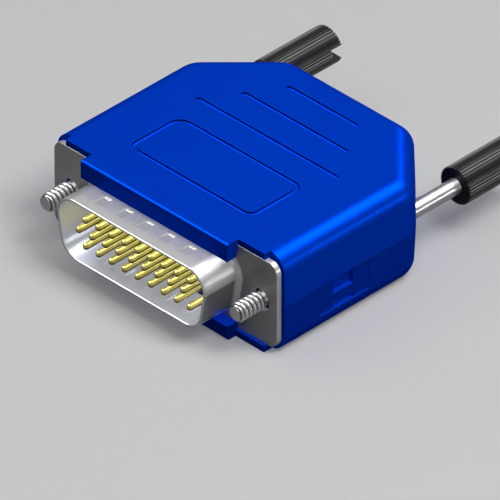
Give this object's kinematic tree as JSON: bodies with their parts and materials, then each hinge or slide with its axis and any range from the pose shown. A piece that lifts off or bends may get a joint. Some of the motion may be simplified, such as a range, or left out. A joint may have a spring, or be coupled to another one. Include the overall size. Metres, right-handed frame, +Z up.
{
  "type": "d-sub cable connector",
  "caption": "High-density D-shaped male cable plug in a two-part snap-together hood with two long jackscrews.",
  "frame": {"origin": "centre of the mating face: the front of the flange, level with both jackscrews", "axes": "+X across the plug, +Y back towards the cable, +Z up, wide side of the D up"},
  "size_m": [0.0402, 0.0515, 0.0144],
  "materials": {
    "hood_plastic": "satin moulded",
    "shell_steel": "bright plated",
    "insulator_plastic": "moulded",
    "contact_gold": "gold plated",
    "screw_steel": "bright turned",
    "clamp_steel": "plated",
    "knob_plastic": "moulded"
  },
  "bodies": {
    "plug": {"upper_hood": "hood_plastic", "lower_hood": "hood_plastic", "front_shell": "shell_steel", "rear_shell": "shell_steel", "front_insulator": "insulator_plastic", "rear_insulator": "insulator_plastic", "contact_01": "contact_gold", "contact_02": "contact_gold", "contact_03": "contact_gold", "contact_04": "contact_gold", "contact_05": "contact_gold", "contact_06": "contact_gold", "contact_07": "contact_gold", "contact_08": "contact_gold", "contact_09": "contact_gold", "contact_10": "contact_gold", "contact_11": "contact_gold", "contact_12": "contact_gold", "contact_13": "contact_gold", "contact_14": "contact_gold", "contact_15": "contact_gold", "contact_16": "contact_gold", "contact_17": "contact_gold", "contact_18": "contact_gold", "contact_19": "contact_gold", "contact_20": "contact_gold", "contact_21": "contact_gold", "contact_22": "contact_gold", "contact_23": "contact_gold", "contact_24": "contact_gold", "contact_25": "contact_gold", "contact_26": "contact_gold", "contact_27": "contact_gold", "clamp_upper": "clamp_steel", "clamp_lower": "clamp_steel", "left_clamp_screw": "clamp_steel", "right_clamp_screw": "clamp_steel", "left_clamp_nut": "clamp_steel", "right_clamp_nut": "clamp_steel"},
    "left_slider": {"left_retaining_ring": "clamp_steel"},
    "left_screw": {"left_jackscrew": "screw_steel", "left_knob": "knob_plastic"},
    "right_slider": {"right_retaining_ring": "clamp_steel"},
    "right_screw": {"right_jackscrew": "screw_steel", "right_knob": "knob_plastic"}
  },
  "joints": [
    {"name": "left_travel", "type": "slide", "parent": "plug", "child": "left_slider", "axis": [0, 1, 0], "range_m": [0, 0.004]},
    {"name": "left_turn", "type": "hinge", "parent": "left_slider", "child": "left_screw", "pos_m": [-0.01666, 0, 0], "axis": [0, 1, 0], "continuous": true},
    {"name": "right_travel", "type": "slide", "parent": "plug", "child": "right_slider", "axis": [0, 1, 0], "range_m": [0, 0.004]},
    {"name": "right_turn", "type": "hinge", "parent": "right_slider", "child": "right_screw", "pos_m": [0.01666, 0, 0], "axis": [0, 1, 0], "continuous": true}
  ]
}
